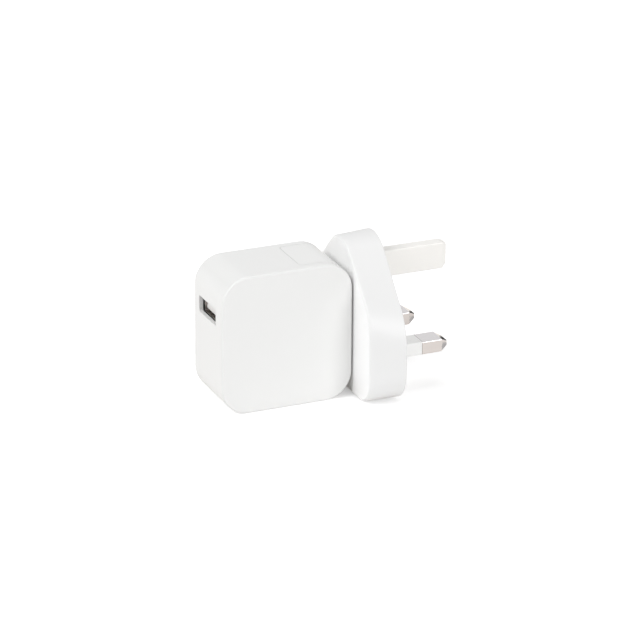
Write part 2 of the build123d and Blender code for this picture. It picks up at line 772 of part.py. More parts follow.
# Two high-voltage capacitors on the floor of the case beside the live strip, their leads bent to the board
bulk_right = strip_side - strip_width / 2 - part_gap
bulk_left = bulk_right - bulk_length
bulk_z = cavity_bottom + board_gap + bulk_diameter / 2
bulk_rear_y = board_near - board_gap - bulk_diameter / 2
bulk_front_y = bulk_rear_y - bulk_diameter - board_gap
for place, bulk_y in (("rear", bulk_rear_y), ("front", bulk_front_y)):
    with BuildPart() as can:
        with BuildSketch(Plane.YZ.offset(bulk_left)) as can_section:
            with Locations((bulk_y, bulk_z)):
                Circle(bulk_diameter / 2)
        extrude(amount=bulk_length)
        fillet(can.edges().filter_by(GeomType.CIRCLE), can_edge)
        run = lead_reach if place == "rear" else 2 * lead_reach
        for offset_z in (-lead_pitch / 2, lead_pitch / 2):
            add(
                bent_lead(
                    [
                        (bulk_left + can_edge, bulk_y, bulk_z + offset_z),
                        (bulk_left - run, bulk_y, bulk_z + offset_z),
                        (bulk_left - run, board_near, bulk_z + offset_z),
                    ],
                    lead_diameter,
                    lead_diameter,
                )
            )
    keep(f"bulk_capacitor_{place}", can.part)

# Two output capacitors standing on the board above the receptacle
space_bottom = usb_rise + usb_inner_height / 2 + usb_sheet
output_z = space_bottom + part_gap / 2 + output_can_diameter / 2
output_first = case_left + case_corner
output_second = output_first + output_can_diameter + part_gap
with BuildPart() as output_capacitors:
    with BuildSketch(Plane.XZ.offset(-board_near)) as can_bases:
        with Locations((output_first, output_z), (output_second, output_z)):
            Rectangle(output_can_diameter, output_can_diameter)
            chamfer(can_bases.vertices(), output_can_diameter / 8)
    extrude(amount=can_base)
    with BuildSketch(Plane.XZ.offset(-board_near + can_base)) as cans:
        with Locations((output_first, output_z), (output_second, output_z)):
            Circle(output_can_diameter / 2 - fit_gap)
    extrude(amount=output_can_height - can_base)
    fillet(output_capacitors.faces().sort_by(Axis.Y)[:2].edges(), can_edge)
keep("output_capacitors", output_capacitors.part)

# Chokes: drums with a wound waist
line_choke_x = board_right - part_gap - drum_diameter / 2
line_choke_z = block_bottom + drum_diameter / 2 + part_gap
output_choke_x = output_second + output_can_diameter / 2 + part_gap + drum_diameter / 2
for name, place in (
    ("line_choke", (line_choke_x, line_choke_z)),
    ("output_choke", (output_choke_x, output_z)),
):
    with BuildPart() as drum:
        with BuildSketch(Plane.XZ.offset(-board_near)) as drum_foot:
            with Locations(place):
                Circle(drum_diameter / 2)
        extrude(amount=drum_height)
        with BuildSketch(Plane.XZ.offset(-board_near + drum_flange)) as waist:
            with Locations(place):
                Circle(drum_diameter / 2)
                Circle(drum_waist / 2, mode=Mode.SUBTRACT)
        extrude(amount=drum_height - 2 * drum_flange, mode=Mode.SUBTRACT)
    keep(name, drum.part)

# Fuse under the transformer
fuse_x = board_left + board_rib_reach + part_gap + fuse_diameter / 2
fuse_z = cavity_bottom + board_rib_reach + part_gap + fuse_diameter / 2
with BuildPart() as fuse:
    with BuildSketch(Plane.XZ.offset(-board_near)) as fuse_foot:
        with Locations((fuse_x, fuse_z)):
            Circle(fuse_diameter / 2)
    extrude(amount=fuse_height)
    fillet(fuse.faces().sort_by(Axis.Y)[0].edges(), can_edge)
keep("fuse", fuse.part)

# Disc capacitor across the barrier, beside the transformer
disc_x = board_right - part_gap - disc_thickness / 2
disc_z = line_choke_z + drum_diameter / 2 + part_gap + disc_diameter / 2
disc_y = board_near - lead_reach - disc_diameter / 2
with BuildPart() as y_capacitor:
    with BuildSketch(Plane.YZ.offset(disc_x - disc_thickness / 2)) as disc:
        with Locations((disc_y, disc_z)):
            Circle(disc_diameter / 2)
    extrude(amount=disc_thickness)
    fillet(y_capacitor.edges().filter_by(GeomType.CIRCLE), disc_thickness / 3)
    with BuildSketch(Plane.XZ.offset(-board_near)) as disc_leads:
        with Locations((disc_x, disc_z - lead_pitch / 2), (disc_x, disc_z + lead_pitch / 2)):
            Circle(lead_diameter / 2)
    extrude(amount=lead_reach + disc_diameter / 4)
keep("y_capacitor", y_capacitor.part)

# Moulded chips with a row of legs down each side, facing the cover or the near wall


def moulded_chip(name, place, width, length, height, legs, facing=1):
    """Chip on the board at a place in X and Z: facing 1 is on the cover's side, -1 on the other."""
    seat = board_far if facing > 0 else board_near
    plane = Plane(origin=(place[0], seat, place[1]), x_dir=(1, 0, 0), z_dir=(0, facing, 0))
    with BuildPart() as chip:
        with BuildSketch(plane.offset(chip_lift)):
            Rectangle(width, length)
        extrude(amount=height - chip_lift)
        top_face = chip.faces().sort_by(Axis.Y)[-1 if facing > 0 else 0]
        chamfer(top_face.edges(), chip_slope)
        with BuildSketch(plane):
            with GridLocations(width + leg_reach, length / legs, 2, legs):
                Rectangle(leg_reach + 2 * chip_slope, leg_width)
        extrude(amount=leg_thickness)
    keep(name, chip.part)


barrier_x = (usb_back + dock_back) / 2
moulded_chip(
    "controller_chip",
    (transformer_x, transformer_z),
    controller_width,
    controller_length,
    chip_height,
    legs=4,
)
moulded_chip(
    "bridge_rectifier",
    (transformer_x, fuse_z),
    bridge_width,
    bridge_length,
    chip_height,
    legs=2,
)
moulded_chip(
    "switching_transistor",
    ((bulk_left + bulk_right) / 2, bulk_z),
    transistor_width,
    transistor_length,
    chip_height,
    legs=3,
)
moulded_chip(
    "output_rectifier",
    (output_second, output_z),
    rectifier_width,
    rectifier_length,
    chip_height,
    legs=2,
)
moulded_chip(
    "optocoupler",
    (barrier_x, usb_rise),
    coupler_width,
    coupler_length,
    coupler_height,
    legs=2,
    facing=-1,
)

os.makedirs("parts", exist_ok=True)
for name, piece in pieces.items():
    export_step(piece, f"parts/{name}.step")
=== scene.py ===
"""Looks of a plug-in USB charger: its finishes, with a floor, soft light and a camera around it.

Metres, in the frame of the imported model: +X runs out along the plug pins, +Z rises to the earth pin.
"""
import math

import bpy
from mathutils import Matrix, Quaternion, Vector


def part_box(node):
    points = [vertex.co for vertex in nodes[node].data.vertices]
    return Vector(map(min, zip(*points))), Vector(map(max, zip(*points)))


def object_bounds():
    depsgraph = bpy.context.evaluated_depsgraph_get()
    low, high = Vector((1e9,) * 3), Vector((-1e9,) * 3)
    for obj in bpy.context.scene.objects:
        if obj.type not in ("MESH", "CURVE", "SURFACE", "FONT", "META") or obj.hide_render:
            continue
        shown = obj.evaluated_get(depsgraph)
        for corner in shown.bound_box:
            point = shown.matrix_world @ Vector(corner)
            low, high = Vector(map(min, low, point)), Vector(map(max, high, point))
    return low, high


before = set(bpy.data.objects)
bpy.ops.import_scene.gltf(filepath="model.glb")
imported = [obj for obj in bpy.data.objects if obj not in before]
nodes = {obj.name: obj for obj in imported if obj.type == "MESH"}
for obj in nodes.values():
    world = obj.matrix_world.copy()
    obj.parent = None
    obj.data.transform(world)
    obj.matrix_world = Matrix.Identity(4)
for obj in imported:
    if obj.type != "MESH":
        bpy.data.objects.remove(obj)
cad_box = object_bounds()

# Camera, at the photograph's angle
camera_aim = Vector((-0.01323, 0.00752, 0.00407))
camera_azimuth = math.radians(-23.40)
camera_elevation = math.radians(21.98)
camera_roll = math.radians(0.26)
camera_distance = 1.1462
camera_lens = 225.0
camera_sensor = 36.0

# Floor and light
floor_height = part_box("case_body")[0].z
floor_half = 4.0
floor_white = (0.93, 0.93, 0.93, 1.0)
floor_lift = 0.4
ambient_level = 0.45
backdrop_level = 1.0
white_light = (1.0, 1.0, 1.0)
warm_bounce = (0.625, 0.488, 0.325)

# Soft lights: place, width and height in metres, and power in watts
softboxes = {
    "left softbox": ((-1.0, -0.1, 0.85), 0.7, 0.7, 7.6),
    "front softbox": ((0.4, -1.2, 0.4), 0.7, 0.6, 5.6),
    "top softbox": ((0.0, 0.0, 1.4), 0.7, 0.7, 2.85),
}

# Cards that only polished metal reflects: low and high corners, from the floor up, and grey level
flags = {
    "near pin flag": ((0.0487, 0.040, 0.0), (0.062, 0.0402, 0.011), 0.0),
    "far pin flag": ((0.0350, 0.040, 0.0), (0.043, 0.0402, 0.012), 0.0),
    "corner flag": ((0.100, 0.012, 0.016), (0.1002, 0.095, 0.045), 0.0),
    "near side flag": ((0.036, -0.0182, 0.0002), (0.048, -0.0100, 0.0004), 0.68),
    "far side flag": ((0.036, 0.0040, 0.0002), (0.048, 0.0122, 0.0004), 0.68),
}

# Whites of the mouldings, with painted light and shade: a paler white on the head's front and a grey on
# turned edges
case_pale = (0.853, 0.854, 0.846, 1.0)
head_pale = (0.83, 0.831, 0.83, 1.0)
# Paler white painted on the head's flange front as light
head_front_painted_light = (0.94, 0.941, 0.94, 1.0)
# Grey painted on turned edges as shade, and how much of it the head takes
painted_edge_shade_grey = (0.7, 0.7, 0.69, 1.0)
head_edge_shade_gain = 0.3

# Front of the plug head's flange, along X, and the margin by which a place is judged before or behind it
flange_front = -0.01064
zone_margin = 0.00005

# Dark line at the end of the pins' sleeves
joint_width = 0.0002
joint_grey = (0.36, 0.345, 0.34, 1.0)

# Paler, warmer steel painted on the socket's sides as a reflection, and how squarely a face has to look
# sideways to count as one
side_reflection_steel = (0.97, 0.9, 0.89, 1.0)
side_facing = 0.7

# Scales of surface texture, in features per metre
grain_scale = 2600.0
wave_scale = 110.0
drift_scale = 32.0
metal_drift_scale = 128.0
haze_scale = 70.0
streak_scale = 1500.0
ring_scale = 2200.0
copper_scale = 420.0
crystal_scale = 5000.0
turn_scale = 160.0
peel_scale = 600.0

# Plastic: width of the edges rubbed paler and painted with a highlight, drift of tone, spread of gloss,
# and the grain's waves and relief
plastic_edge = 0.00025
plastic_drift = 0.006
plastic_spread = 0.06
plastic_waves = 0.6
plastic_bump = 0.25
plastic_relief = 0.00006

# Metal: width of the edges rubbed brighter and painted with a highlight, drift of tone, spread of gloss
# per roughness, and the lines' relief
metal_edge = 0.00018
metal_drift = 0.04
metal_spread = 0.3
metal_bump = 0.3
metal_relief = 0.00002

# Drawn and rolled lines: the texture is drawn out along the axis whose share is small
pin_draw = (0.03, 1.0, 1.0)
length_draw = (0.05, 1.0, 1.0)
strip_draw = (1.0, 0.04, 1.0)

# Samples that round an edge's normal
edge_samples = 6

# Node building


def fill_inputs(tree, made, inputs):
    """Sets or links a node's inputs by name or number."""
    for name, value in inputs.items():
        if isinstance(value, bpy.types.NodeSocket):
            tree.links.new(value, made.inputs[name])
        else:
            made.inputs[name].default_value = value


def node(tree, kind, inputs=None, **settings):
    """Adds a node with its properties and its inputs."""
    made = tree.nodes.new(kind)
    for name, value in settings.items():
        setattr(made, name, value)
    fill_inputs(tree, made, inputs or {})
    return made


def use_group(tree, group, inputs):
    """Places a node group with its own values, as its outputs."""
    return node(tree, "ShaderNodeGroup", inputs, node_tree=group).outputs


def math_node(tree, operation, *values, clamp=False):
    """A Math node's output, from numbers or sockets."""
    made = node(tree, "ShaderNodeMath", dict(enumerate(values)), operation=operation, use_clamp=clamp)
    return made.outputs["Value"]


def swing(tree, value):
    """A value from 0 to 1, spread out from -1 to 1."""
    return math_node(tree, "MULTIPLY_ADD", value, 2.0, -1.0)


def mix_colour(tree, factor, first, second):
    """One colour faded to another by a mask."""
    made = node(tree, "ShaderNodeMix", {"Factor": factor}, data_type="RGBA")
    for socket, value in (("A_Color", first), ("B_Color", second)):
        target = next(s for s in made.inputs if s.identifier == socket)
        if isinstance(value, bpy.types.NodeSocket):
            tree.links.new(value, target)
        else:
            target.default_value = value
    return next(s for s in made.outputs if s.identifier == "Result_Color")


def object_place(tree):
    """A point's place in the frame, which goes with its body."""
    return node(tree, "ShaderNodeTexCoord").outputs["Object"]


def along(tree, coordinates, axis):
    """One axis of a texture coordinate."""
    vector = node(tree, "ShaderNodeTexCoord").outputs[coordinates]
    return node(tree, "ShaderNodeSeparateXYZ", {"Vector": vector}).outputs[axis]


def new_group(name, inputs, outputs):
    """A shader node group with named sockets, as its tree, its input node and its output node."""
    group = bpy.data.node_groups.new(name, "ShaderNodeTree")
    for socket, kind, value in inputs:
        made = group.interface.new_socket(socket, in_out="INPUT", socket_type=kind)
        made.default_value = value
    for socket, kind in outputs:
        group.interface.new_socket(socket, in_out="OUTPUT", socket_type=kind)
    return group, group.nodes.new("NodeGroupInput"), group.nodes.new("NodeGroupOutput")


# Shared surface effects


def make_mould_grain():
    """Fine spark-eroded grain of a moulding over the slow waves of shrinkage."""
    group, given, result = new_group(
        "mould grain",
        [
            ("Grain Scale", "NodeSocketFloat", grain_scale),
            ("Wave Scale", "NodeSocketFloat", wave_scale),
            ("Wave Share", "NodeSocketFloat", 0.5),
        ],
        [("Height", "NodeSocketFloat")],
    )
    place = object_place(group)
    grain = node(group, "ShaderNodeTexNoise", {"Vector": place, "Scale": given.outputs["Grain Scale"]})
    waves = node(
        group,
        "ShaderNodeTexNoise",
        {"Vector": place, "Scale": given.outputs["Wave Scale"], "Detail": 1.0},
    )
    height = node(
        group,
        "ShaderNodeMix",
        {
            "Factor": given.outputs["Wave Share"],
            "A": grain.outputs["Fac"],
            "B": waves.outputs["Fac"],
        },
    )
    group.links.new(height.outputs["Result"], result.inputs["Height"])
    return group


def make_tone_drift():
    """A colour that drifts a little lighter and darker across a piece."""
    group, given, result = new_group(
        "tone drift",
        [
            ("Colour", "NodeSocketColor", (0.8, 0.8, 0.8, 1.0)),
            ("Drift Scale", "NodeSocketFloat", drift_scale),
            ("Drift", "NodeSocketFloat", 0.02),
        ],
        [("Colour", "NodeSocketColor")],
    )
    cloud = node(
        group,
        "ShaderNodeTexNoise",
        {"Vector": object_place(group), "Scale": given.outputs["Drift Scale"]},
    )
    drift = swing(group, cloud.outputs["Fac"])
    level = math_node(group, "MULTIPLY_ADD", drift, given.outputs["Drift"], 1.0)
    tinted = node(
        group,
        "ShaderNodeVectorMath",
        {0: given.outputs["Colour"], "Scale": level},
        operation="SCALE",
    )
    group.links.new(tinted.outputs["Vector"], result.inputs["Colour"])
    return group


def make_handling_haze():
    """Roughness that varies in soft patches, as a handled surface does."""
    group, given, result = new_group(
        "handling haze",
        [
            ("Roughness", "NodeSocketFloat", 0.4),
            ("Spread", "NodeSocketFloat", 0.05),
            ("Patch Scale", "NodeSocketFloat", haze_scale),
        ],
        [("Roughness", "NodeSocketFloat")],
    )
    patches = node(
        group,
        "ShaderNodeTexNoise",
        {
            "Vector": object_place(group),
            "Scale": given.outputs["Patch Scale"],
            "Detail": 4.0,
            "Roughness": 0.6,
        },
    )
    patch = swing(group, patches.outputs["Fac"])
    rough = math_node(group, "MULTIPLY_ADD", patch, given.outputs["Spread"], given.outputs["Roughness"])
    group.links.new(rough, result.inputs["Roughness"])
    return group


def make_edge_rub_and_highlight():
    """Rounded normal and a mask at the crisp edges of a piece, for rubbed wear and a painted highlight.
    """
    group, given, result = new_group(
        "edge rub and highlight",
        [("Width", "NodeSocketFloat", 0.0002), ("Contrast", "NodeSocketFloat", 6.0)],
        [("Normal", "NodeSocketVector"), ("Mask", "NodeSocketFloat")],
    )
    rounded = node(group, "ShaderNodeBevel", {"Radius": given.outputs["Width"]}, samples=edge_samples)
    flat = node(group, "ShaderNodeNewGeometry").outputs["Normal"]
    aligned = node(
        group,
        "ShaderNodeVectorMath",
        {0: rounded.outputs["Normal"], 1: flat},
        operation="DOT_PRODUCT",
    )
    turned = math_node(group, "SUBTRACT", 1.0, aligned.outputs["Value"])
    mask = math_node(group, "MULTIPLY", turned, given.outputs["Contrast"], clamp=True)
    group.links.new(rounded.outputs["Normal"], result.inputs["Normal"])
    group.links.new(mask, result.inputs["Mask"])
    return group


def make_turned_edge():
    """Mask of the rounds and chamfers between a piece's level and upright faces."""
    group, given, result = new_group(
        "turned edge",
        [("Gain", "NodeSocketFloat", 1.0)],
        [("Mask", "NodeSocketFloat")],
    )
    facing = node(group, "ShaderNodeTexCoord").outputs["Normal"]
    unsigned = node(group, "ShaderNodeVectorMath", {0: facing}, operation="ABSOLUTE").outputs["Vector"]
    shares = node(group, "ShaderNodeSeparateXYZ", {"Vector": unsigned}).outputs
    level_share = math_node(group, "MAXIMUM", shares["X"], shares["Y"])
    widest = math_node(group, "MAXIMUM", level_share, shares["Z"])
    turn = math_node(group, "SUBTRACT", 1.0, widest)
    mask = math_node(group, "MULTIPLY", turn, given.outputs["Gain"], clamp=True)
    group.links.new(mask, result.inputs["Mask"])
    return group


def make_drawn_lines():
    """Fine lines left along one direction by drawing, brushing or rolling."""
    group, given, result = new_group(
        "drawn lines",
        [
            ("Stretch", "NodeSocketVector", (0.04, 1.0, 1.0)),
            ("Line Scale", "NodeSocketFloat", streak_scale),
        ],
        [("Height", "NodeSocketFloat")],
    )
    drawn = node(
        group,
        "ShaderNodeVectorMath",
        {0: object_place(group), 1: given.outputs["Stretch"]},
        operation="MULTIPLY",
    )
    lines = node(
        group,
        "ShaderNodeTexNoise",
        {"Vector": drawn.outputs["Vector"], "Scale": given.outputs["Line Scale"], "Detail": 3.0},
    )
    group.links.new(lines.outputs["Fac"], result.inputs["Height"])
    return group


mould_grain = make_mould_grain()
tone_drift = make_tone_drift()
handling_haze = make_handling_haze()
edge_rub_and_highlight = make_edge_rub_and_highlight()
turned_edge = make_turned_edge()
drawn_lines = make_drawn_lines()

# Finishes


def new_finish(name):
    """An empty material, as its node tree and its Principled shader."""
    material = bpy.data.materials.new(name)
    material.use_nodes = True
    tree = material.node_tree
    tree.nodes.clear()
    shader = tree.nodes.new("ShaderNodeBsdfPrincipled")
    output = tree.nodes.new("ShaderNodeOutputMaterial")
    tree.links.new(shader.outputs["BSDF"], output.inputs["Surface"])
    return material, tree, shader


def drifting(tree, colour, drift, scale=drift_scale):
    """A colour with a slow drift of tone."""
    return use_group(tree, tone_drift, {"Colour": colour, "Drift": drift, "Drift Scale": scale})["Colour"]


def set_colour(tree, shader, colour):
    """Feeds a colour into the shader."""
    tree.links.new(colour, shader.inputs["Base Color"])


def set_gloss(tree, shader, roughness, spread):
    """Feeds a patchy roughness into the shader."""
    haze = use_group(tree, handling_haze, {"Roughness": roughness, "Spread": spread})
    tree.links.new(haze["Roughness"], shader.inputs["Roughness"])


def set_relief(tree, shader, height, strength, distance, normal=None):
    """Feeds a height into the shader's normal."""
    made = node(tree, "ShaderNodeBump", {"Height": height, "Strength": strength, "Distance": distance})
    if normal:
        tree.links.new(normal, made.inputs["Normal"])
    tree.links.new(made.outputs["Normal"], shader.inputs["Normal"])


def moulded_plastic(name, colour, rubbed_and_highlit, roughness, shine=0.5, zones=None):
    """Moulded plastic: fine grain, slow waves, a drifting tone and edges rubbed paler, partly a painted
    highlight.
    """
    material, tree, shader = new_finish(name)
    shader.inputs["Specular IOR Level"].default_value = shine
    if zones:
        colour = zones(tree, colour)
    rub_and_highlight = use_group(tree, edge_rub_and_highlight, {"Width": plastic_edge})
    tone = drifting(tree, colour, plastic_drift)
    # Crisp edges take the paler edge colour: wear and a painted highlight.
    set_colour(tree, shader, mix_colour(tree, rub_and_highlight["Mask"], tone, rubbed_and_highlit))
    set_gloss(tree, shader, roughness, plastic_spread)
    grain = use_group(tree, mould_grain, {"Wave Share": plastic_waves})
    set_relief(tree, shader, grain["Height"], plastic_bump, plastic_relief, rub_and_highlight["Normal"])
    return material


def plain_metal(name, colour, rubbed_and_highlit, roughness, stretch, zones=None):
    """Bare or plated metal: drawn lines, patchy gloss and edges rubbed brighter, partly a painted
    highlight.
    """
    material, tree, shader = new_finish(name)
    shader.inputs["Metallic"].default_value = 1.0
    if zones:
        colour = zones(tree, colour)
    rub_and_highlight = use_group(tree, edge_rub_and_highlight, {"Width": metal_edge})
    tone = drifting(tree, colour, metal_drift, metal_drift_scale)
    # Crisp edges take the brighter edge colour: wear and a painted highlight.
    set_colour(tree, shader, mix_colour(tree, rub_and_highlight["Mask"], tone, rubbed_and_highlit))
    set_gloss(tree, shader, roughness, metal_spread * roughness)
    lines = use_group(tree, drawn_lines, {"Stretch": stretch})
    set_relief(tree, shader, lines["Height"], metal_bump, metal_relief, rub_and_highlight["Normal"])
    return material


def painted_edge_shade(tree, colour, gain=1.0):
    """A white greyed a little where the corners and edges turn, as painted shade that tones down the
    light on them.
    """
    turn = use_group(tree, turned_edge, {"Gain": gain})
    return mix_colour(tree, turn["Mask"], colour, painted_edge_shade_grey)


def case_white():
    """Satin white of the case."""
    return moulded_plastic(
        "case white",
        colour=case_pale,
        rubbed_and_highlit=(0.85, 0.85, 0.845, 1.0),
        roughness=0.4,
        shine=0.25,
        # The rounded edges are greyed as painted shade.
        zones=painted_edge_shade,
    )


def head_zones(tree, colour):
    """The head's own white, painted paler on the flange's front as light, like the case on the tongue
    behind it, and greyed on turned edges as painted shade.
    """
    lengthwise = along(tree, "Object", "X")
    front = math_node(tree, "LESS_THAN", lengthwise, flange_front + zone_margin)
    tongue = math_node(tree, "LESS_THAN", lengthwise, flange_front - zone_margin)
    # The flange's front is painted paler, as light falling on it.
    fronted = mix_colour(tree, front, colour, head_front_painted_light)
    return painted_edge_shade(tree, mix_colour(tree, tongue, fronted, case_pale), head_edge_shade_gain)


def head_white():
    """Smoother white of the plug head."""
    return moulded_plastic(
        "head white",
        colour=head_pale,
        rubbed_and_highlit=(0.87, 0.87, 0.87, 1.0),
        roughness=0.33,
        shine=0.3,
        zones=head_zones,
    )


def earth_white():
    """Creamy white of the plastic earth pin."""
    return moulded_plastic(
        "earth pin white",
        colour=(0.93, 0.915, 0.885, 1.0),
        rubbed_and_highlit=(0.94, 0.93, 0.91, 1.0),
        roughness=0.42,
    )


def sleeve_white():
    """White of the insulating sleeves."""
    return moulded_plastic(
        "sleeve white",
        colour=(0.93, 0.93, 0.92, 1.0),
        rubbed_and_highlit=(0.94, 0.94, 0.94, 1.0),
        roughness=0.45,
    )


def usb_white():
    """White of the socket's insulator."""
    return moulded_plastic(
        "socket insulator",
        colour=(0.86, 0.85, 0.83, 1.0),
        rubbed_and_highlit=(0.88, 0.87, 0.86, 1.0),
        roughness=0.5,
    )


def inlet_grey():
    """Pale grey of the inlet block."""
    return moulded_plastic(
        "inlet block grey",
        colour=(0.6, 0.6, 0.6, 1.0),
        rubbed_and_highlit=(0.66, 0.66, 0.66, 1.0),
        roughness=0.5,
    )


def bobbin_black():
    """Black of the transformer's bobbin and the fuse's case."""
    return moulded_plastic(
        "bobbin black",
        colour=(0.02, 0.02, 0.021, 1.0),
        rubbed_and_highlit=(0.05, 0.05, 0.05, 1.0),
        roughness=0.5,
    )


def joint_line(tree, colour):
    """The pins' nickel, darker in a fine line where the sleeve ends."""
    sleeve_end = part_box("live_sleeve")[1].x
    line = math_node(tree, "LESS_THAN", along(tree, "Object", "X"), sleeve_end + joint_width)
    return mix_colour(tree, line, colour, joint_grey)


def pin_nickel():
    """Warm nickel plate of the plug pins, drawn along their length."""
    return plain_metal(
        "pin nickel",
        colour=(0.642, 0.622, 0.628, 1.0),
        rubbed_and_highlit=(0.88, 0.87, 0.86, 1.0),
        roughness=0.07,
        stretch=pin_draw,
        zones=joint_line,
    )


def contact_brass():
    """Brass of the straps, the contacts and the inlet's strips."""
    return plain_metal(
        "contact brass",
        colour=(0.62, 0.42, 0.16, 1.0),
        rubbed_and_highlit=(0.75, 0.57, 0.3, 1.0),
        roughness=0.3,
        stretch=strip_draw,
    )


def contact_gold():
    """Gold plate of the socket's contacts."""
    return plain_metal(
        "contact gold",
        colour=(0.72, 0.5, 0.18, 1.0),
        rubbed_and_highlit=(0.85, 0.66, 0.34, 1.0),
        roughness=0.2,
        stretch=length_draw,
    )


def painted_side_reflection(tree, colour):
    """The shell's steel, painted paler and warmer on its two sides as a reflection."""
    sideways = math_node(tree, "ABSOLUTE", along(tree, "Normal", "Y"))
    side = math_node(tree, "GREATER_THAN", sideways, side_facing)
    return mix_colour(tree, side, colour, side_reflection_steel)


def usb_steel():
    """Tin-plated steel of the socket's shell, rolled along its length."""
    return plain_metal(
        "socket steel",
        colour=(0.38, 0.34, 0.32, 1.0),
        rubbed_and_highlit=(0.62, 0.6, 0.58, 1.0),
        roughness=0.34,
        stretch=length_draw,
        # The shell's sides are painted paler as a reflection.
        zones=painted_side_reflection,
    )


def can_aluminium():
    """Drawn aluminium of the capacitor cans."""
    return plain_metal(
        "can aluminium",
        colour=(0.6, 0.6, 0.62, 1.0),
        rubbed_and_highlit=(0.75, 0.75, 0.76, 1.0),
        roughness=0.32,
        stretch=length_draw,
    )


def stud_steel():
    """Bright steel of the locking stud, with the rings that turning leaves."""
    turned = (0.55, 0.55, 0.55, 1.0)
    rubbed_and_highlit = (0.75, 0.75, 0.75, 1.0)
    material, tree, shader = new_finish("stud steel")
    shader.inputs["Metallic"].default_value = 1.0
    low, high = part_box("locking_stud")
    centre = (low + high) / 2
    centred = node(tree, "ShaderNodeVectorMath", {0: object_place(tree), 1: centre}, operation="SUBTRACT")
    rings = node(
        tree,
        "ShaderNodeTexWave",
        {"Vector": centred.outputs["Vector"], "Scale": ring_scale, "Distortion": 0.6},
        wave_type="RINGS",
        rings_direction="X",
    )
    rub_and_highlight = use_group(tree, edge_rub_and_highlight, {})
    tone = drifting(tree, turned, drift=0.05)
    # Crisp edges take the brighter edge colour: wear and a painted highlight.
    set_colour(tree, shader, mix_colour(tree, rub_and_highlight["Mask"], tone, rubbed_and_highlit))
    set_gloss(tree, shader, roughness=0.26, spread=0.06)
    set_relief(tree, shader, rings.outputs["Fac"], strength=0.2, distance=0.00002, normal=rub_and_highlight["Normal"])
    return material


def board_green():
    """Circuit board: dark green mask over copper runs, with tinned pads."""
    bare_mask = (0.004, 0.02, 0.009, 1.0)
    run_mask = (0.01, 0.042, 0.018, 1.0)
    tin = (0.62, 0.62, 0.6, 1.0)
    run_edge = 0.12
    pad_radius = 0.16
    material, tree, shader = new_finish("circuit board")
    cells = {"Vector": object_place(tree), "Scale": copper_scale}
    runs = node(tree, "ShaderNodeTexVoronoi", cells, feature="DISTANCE_TO_EDGE")
    copper = math_node(tree, "GREATER_THAN", runs.outputs["Distance"], run_edge)
    pads = node(tree, "ShaderNodeTexVoronoi", cells)
    pad = math_node(tree, "LESS_THAN", pads.outputs["Distance"], pad_radius)
    mask = mix_colour(tree, copper, bare_mask, run_mask)
    set_colour(tree, shader, mix_colour(tree, pad, mask, tin))
    tree.links.new(pad, shader.inputs["Metallic"])
    set_gloss(tree, shader, roughness=0.32, spread=0.08)
    set_relief(tree, shader, copper, strength=0.4, distance=0.00004)
    return material


def ferrite_grey():
    """Sintered ferrite: dark grey with a fine crystalline speckle."""
    dark = (0.045, 0.045, 0.048, 1.0)
    glint = (0.1, 0.1, 0.105, 1.0)
    speck_radius = 0.2
    material, tree, shader = new_finish("ferrite")
    crystals = node(tree, "ShaderNodeTexVoronoi", {"Vector": object_place(tree), "Scale": crystal_scale})
    speckle = math_node(tree, "LESS_THAN", crystals.outputs["Distance"], speck_radius)
    tone = drifting(tree, dark, drift=0.12)
    set_colour(tree, shader, mix_colour(tree, speckle, tone, glint))
    set_gloss(tree, shader, roughness=0.55, spread=0.1)
    grain = use_group(tree, mould_grain, {"Wave Share": 0.2})
    set_relief(tree, shader, grain["Height"], strength=0.5, distance=0.00008)
    return material


def winding_tape():
    """Yellow film tape in overlapping turns over the winding."""
    amber = (0.62, 0.4, 0.03, 1.0)
    lapped = (0.7, 0.5, 0.06, 1.0)
    material, tree, shader = new_finish("winding tape")
    turns = node(
        tree,
        "ShaderNodeTexWave",
        {"Vector": object_place(tree), "Scale": turn_scale, "Distortion": 1.2},
        bands_direction="Y",
        wave_profile="SAW",
    )
    tone = drifting(tree, amber, drift=0.1)
    set_colour(tree, shader, mix_colour(tree, turns.outputs["Fac"], tone, lapped))
    set_gloss(tree, shader, roughness=0.3, spread=0.08)
    set_relief(tree, shader, turns.outputs["Fac"], strength=0.5, distance=0.00006)
    return material


def end_mask(tree, axis, share):
    """Mask of the outer share of a piece's own box along one axis, at both ends."""
    middle = 0.5
    offset = math_node(tree, "SUBTRACT", along(tree, "Generated", axis), middle)
    away = math_node(tree, "ABSOLUTE", offset)
    return math_node(tree, "GREATER_THAN", away, middle - share)


def chip_black():
    """Moulded chip: black epoxy with a fine fleck, and tinned legs down both sides."""
    epoxy = (0.022, 0.022, 0.023, 1.0)
    tin = (0.6, 0.6, 0.58, 1.0)
    material, tree, shader = new_finish("chip epoxy")
    legs = end_mask(tree, "X", share=0.14)
    tone = drifting(tree, epoxy, drift=0.15)
    set_colour(tree, shader, mix_colour(tree, legs, tone, tin))
    tree.links.new(legs, shader.inputs["Metallic"])
    set_gloss(tree, shader, roughness=0.5, spread=0.08)
    grain = use_group(tree, mould_grain, {"Wave Share": 0.2})
    set_relief(tree, shader, grain["Height"], strength=0.4, distance=0.00006)
    return material


def disc_blue():
    """Disc capacitor: blue dipped coat with a soft orange peel."""
    dip = (0.03, 0.13, 0.42, 1.0)
    material, tree, shader = new_finish("dipped disc")
    set_colour(tree, shader, drifting(tree, dip, drift=0.1))
    set_gloss(tree, shader, roughness=0.28, spread=0.06)
    peel = use_group(tree, mould_grain, {"Wave Share": 0.85, "Wave Scale": peel_scale})
    set_relief(tree, shader, peel["Height"], strength=0.5, distance=0.0001)
    return material


